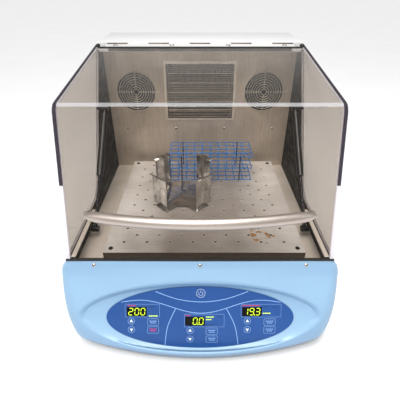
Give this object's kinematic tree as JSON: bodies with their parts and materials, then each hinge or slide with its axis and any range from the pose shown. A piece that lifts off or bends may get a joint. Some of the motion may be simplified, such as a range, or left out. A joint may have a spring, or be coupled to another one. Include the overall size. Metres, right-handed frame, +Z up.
{
  "type": "incubated benchtop shaker",
  "caption": "Benchtop orbital shaker with a heated chamber, a clear hinged hood, a perforated platform and an oval control panel in a moulded front.",
  "frame": {"origin": "centre of the bounding box's underside, on the bench", "axes": "+X to the user's right, -Y towards the user at the front, +Z up"},
  "size_m": [0.6, 0.7919, 0.588],
  "materials": {
    "pan_steel": "zinc-plated sheet",
    "foot_rubber": "moulded, matte",
    "case_paint": "powder coat, light grey",
    "rear_paint": "powder coat, light grey",
    "bezel_plastic": "moulded, semi-gloss",
    "screw_steel": "stainless, bright",
    "panel_film": "membrane film, satin",
    "display_window": "dark window",
    "board_laminate": "circuit board",
    "floor_stainless": "stainless, 2B",
    "wall_stainless": "stainless, brushed",
    "grille_stainless": "stainless, perforated",
    "guard_wire": "plated wire",
    "fan_plastic": "moulded",
    "liner_black": "moulded, semi-gloss",
    "bearing_steel": "ground",
    "seal_rubber": "extruded, matte",
    "lid_acrylic": "clear cast acrylic, polished",
    "strip_white": "white, satin",
    "hinge_steel": "stainless, rolled",
    "handle_satin": "satin anodised",
    "strut_black": "black, semi-gloss",
    "rod_chrome": "hard chrome",
    "drive_aluminium": "machined",
    "crank_steel": "turned",
    "pulley_aluminium": "turned",
    "carrier_aluminium": "cast, machined face",
    "platform_stainless": "stainless, worn satin",
    "clamp_stainless": "stainless, polished",
    "rack_epoxy": "epoxy coat, gloss",
    "motor_paint": "black, satin",
    "belt_rubber": "ribbed",
    "inlet_plastic": "moulded",
    "rocker_plastic": "moulded",
    "heater_steel": "stainless, finned",
    "key_film": "membrane film, satin"
  },
  "bodies": {
    "cabinet": {"base_pan": "pan_steel", "feet": "foot_rubber", "cabinet_shell": "case_paint", "rear_panel": "rear_paint", "front_bezel": "bezel_plastic", "case_screws": "screw_steel", "control_panel": "panel_film", "displays": "display_window", "control_board": "board_laminate", "chamber_floor": "floor_stainless", "back_wall": "wall_stainless", "intake_grille": "grille_stainless", "fan_guards": "guard_wire", "fan_frames": "fan_plastic", "side_liners": "liner_black", "shaft_bearings": "bearing_steel", "bearing_housings": "drive_aluminium", "lid_seal": "seal_rubber", "hinge_cabinet_leaf": "hinge_steel", "strut_lower_studs": "bearing_steel", "drive_plate": "drive_aluminium", "drive_motor": "motor_paint", "drive_belt": "belt_rubber", "power_inlet": "inlet_plastic", "heater": "heater_steel"},
    "lid": {"lid_shell": "lid_acrylic", "hinge_lid_leaf": "strip_white", "lid_screws": "screw_steel", "handle": "handle_satin", "strut_upper_studs": "bearing_steel"},
    "strut_rod_left_body": {"strut_rod_left": "rod_chrome"},
    "strut_rod_right_body": {"strut_rod_right": "rod_chrome"},
    "strut_cylinder_left_body": {"strut_cylinder_left": "strut_black"},
    "strut_cylinder_right_body": {"strut_cylinder_right": "strut_black"},
    "crank": {"main_crank": "crank_steel", "drive_pulley": "pulley_aluminium"},
    "idler_left": {"idler_crank_left": "crank_steel"},
    "idler_right": {"idler_crank_right": "crank_steel"},
    "table": {"carrier_frame": "carrier_aluminium", "platform": "platform_stainless", "platform_screws": "screw_steel", "flask_clamp": "clamp_stainless", "tube_rack": "rack_epoxy"},
    "motor_rotor": {"motor_pulley": "pulley_aluminium"},
    "fan_left": {"fan_impeller_left": "fan_plastic"},
    "fan_right": {"fan_impeller_right": "fan_plastic"},
    "rocker": {"power_rocker": "rocker_plastic"},
    "key_power_body": {"key_power": "key_film"},
    "key_left_up_body": {"key_left_up": "key_film"},
    "key_left_down_body": {"key_left_down": "key_film"},
    "key_left_upper_body": {"key_left_upper": "key_film"},
    "key_left_lower_body": {"key_left_lower": "key_film"},
    "key_center_up_body": {"key_center_up": "key_film"},
    "key_center_down_body": {"key_center_down": "key_film"},
    "key_center_upper_body": {"key_center_upper": "key_film"},
    "key_center_lower_body": {"key_center_lower": "key_film"},
    "key_right_up_body": {"key_right_up": "key_film"},
    "key_right_down_body": {"key_right_down": "key_film"},
    "key_right_upper_body": {"key_right_upper": "key_film"},
    "key_right_lower_body": {"key_right_lower": "key_film"}
  },
  "joints": [
    {"name": "lid_hinge", "type": "hinge", "parent": "cabinet", "child": "lid", "pos_m": [0, 0.1865, 0.585], "axis": [-1, 0, 0], "range_deg": [0, 70]},
    {"name": "strut_swing_left", "type": "hinge", "parent": "cabinet", "child": "strut_rod_left_body", "pos_m": [-0.262, -0.164, 0.211], "axis": [1, 0, 0], "range_deg": [0, 25]},
    {"name": "strut_stroke_left", "type": "slide", "parent": "strut_rod_left_body", "child": "strut_cylinder_left_body", "axis": [0, 0.7405, 0.6721], "range_m": [0, 0.1186]},
    {"name": "strut_swing_right", "type": "hinge", "parent": "cabinet", "child": "strut_rod_right_body", "pos_m": [0.262, -0.164, 0.211], "axis": [1, 0, 0], "range_deg": [0, 25]},
    {"name": "strut_stroke_right", "type": "slide", "parent": "strut_rod_right_body", "child": "strut_cylinder_right_body", "axis": [0, 0.7405, 0.6721], "range_m": [0, 0.1186]},
    {"name": "crank_spin", "type": "hinge", "parent": "cabinet", "child": "crank", "pos_m": [0, 0.04, 0.1], "axis": [0, 0, 1], "continuous": true},
    {"name": "table_pin", "type": "hinge", "parent": "crank", "child": "table", "pos_m": [0.0095, 0.04, 0.205], "axis": [0, 0, 1], "continuous": true},
    {"name": "idler_left_spin", "type": "hinge", "parent": "cabinet", "child": "idler_left", "pos_m": [-0.14, -0.13, 0.1], "axis": [0, 0, 1], "continuous": true},
    {"name": "idler_right_spin", "type": "hinge", "parent": "cabinet", "child": "idler_right", "pos_m": [0.14, -0.13, 0.1], "axis": [0, 0, 1], "continuous": true},
    {"name": "motor_spin", "type": "hinge", "parent": "cabinet", "child": "motor_rotor", "pos_m": [0, 0.185, 0.1], "axis": [0, 0, 1], "continuous": true},
    {"name": "fan_left_spin", "type": "hinge", "parent": "cabinet", "child": "fan_left", "pos_m": [-0.1975, 0.25, 0.441], "axis": [0, 1, 0], "continuous": true},
    {"name": "fan_right_spin", "type": "hinge", "parent": "cabinet", "child": "fan_right", "pos_m": [0.1975, 0.25, 0.441], "axis": [0, 1, 0], "continuous": true},
    {"name": "rocker_tilt", "type": "hinge", "parent": "cabinet", "child": "rocker", "pos_m": [-0.215, 0.39111, 0.116], "axis": [-1, 0, 0], "range_deg": [0, 16]},
    {"name": "key_power_press", "type": "slide", "parent": "cabinet", "child": "key_power_body", "axis": [0, 0.891, -0.454], "range_m": [0, 0.0005], "stiffness_N_per_m": 400},
    {"name": "key_left_up_press", "type": "slide", "parent": "cabinet", "child": "key_left_up_body", "axis": [0, 0.891, -0.454], "range_m": [0, 0.0005], "stiffness_N_per_m": 400},
    {"name": "key_left_down_press", "type": "slide", "parent": "cabinet", "child": "key_left_down_body", "axis": [0, 0.891, -0.454], "range_m": [0, 0.0005], "stiffness_N_per_m": 400},
    {"name": "key_left_upper_press", "type": "slide", "parent": "cabinet", "child": "key_left_upper_body", "axis": [0, 0.891, -0.454], "range_m": [0, 0.0005], "stiffness_N_per_m": 400},
    {"name": "key_left_lower_press", "type": "slide", "parent": "cabinet", "child": "key_left_lower_body", "axis": [0, 0.891, -0.454], "range_m": [0, 0.0005], "stiffness_N_per_m": 400},
    {"name": "key_center_up_press", "type": "slide", "parent": "cabinet", "child": "key_center_up_body", "axis": [0, 0.891, -0.454], "range_m": [0, 0.0005], "stiffness_N_per_m": 400},
    {"name": "key_center_down_press", "type": "slide", "parent": "cabinet", "child": "key_center_down_body", "axis": [0, 0.891, -0.454], "range_m": [0, 0.0005], "stiffness_N_per_m": 400},
    {"name": "key_center_upper_press", "type": "slide", "parent": "cabinet", "child": "key_center_upper_body", "axis": [0, 0.891, -0.454], "range_m": [0, 0.0005], "stiffness_N_per_m": 400},
    {"name": "key_center_lower_press", "type": "slide", "parent": "cabinet", "child": "key_center_lower_body", "axis": [0, 0.891, -0.454], "range_m": [0, 0.0005], "stiffness_N_per_m": 400},
    {"name": "key_right_up_press", "type": "slide", "parent": "cabinet", "child": "key_right_up_body", "axis": [0, 0.891, -0.454], "range_m": [0, 0.0005], "stiffness_N_per_m": 400},
    {"name": "key_right_down_press", "type": "slide", "parent": "cabinet", "child": "key_right_down_body", "axis": [0, 0.891, -0.454], "range_m": [0, 0.0005], "stiffness_N_per_m": 400},
    {"name": "key_right_upper_press", "type": "slide", "parent": "cabinet", "child": "key_right_upper_body", "axis": [0, 0.891, -0.454], "range_m": [0, 0.0005], "stiffness_N_per_m": 400},
    {"name": "key_right_lower_press", "type": "slide", "parent": "cabinet", "child": "key_right_lower_body", "axis": [0, 0.891, -0.454], "range_m": [0, 0.0005], "stiffness_N_per_m": 400}
  ],
  "couplings": [
    {"joint": "strut_swing_left", "follows": "lid_hinge", "ratio": 0.35562},
    {"joint": "strut_stroke_left", "follows": "lid_hinge", "m_per_rad": 0.096788},
    {"joint": "strut_swing_right", "follows": "lid_hinge", "ratio": 0.35562},
    {"joint": "strut_stroke_right", "follows": "lid_hinge", "m_per_rad": 0.096788},
    {"joint": "table_pin", "follows": "crank_spin", "ratio": -1},
    {"joint": "idler_left_spin", "follows": "crank_spin", "ratio": 1},
    {"joint": "idler_right_spin", "follows": "crank_spin", "ratio": 1},
    {"joint": "motor_spin", "follows": "crank_spin", "ratio": 3.4444}
  ]
}
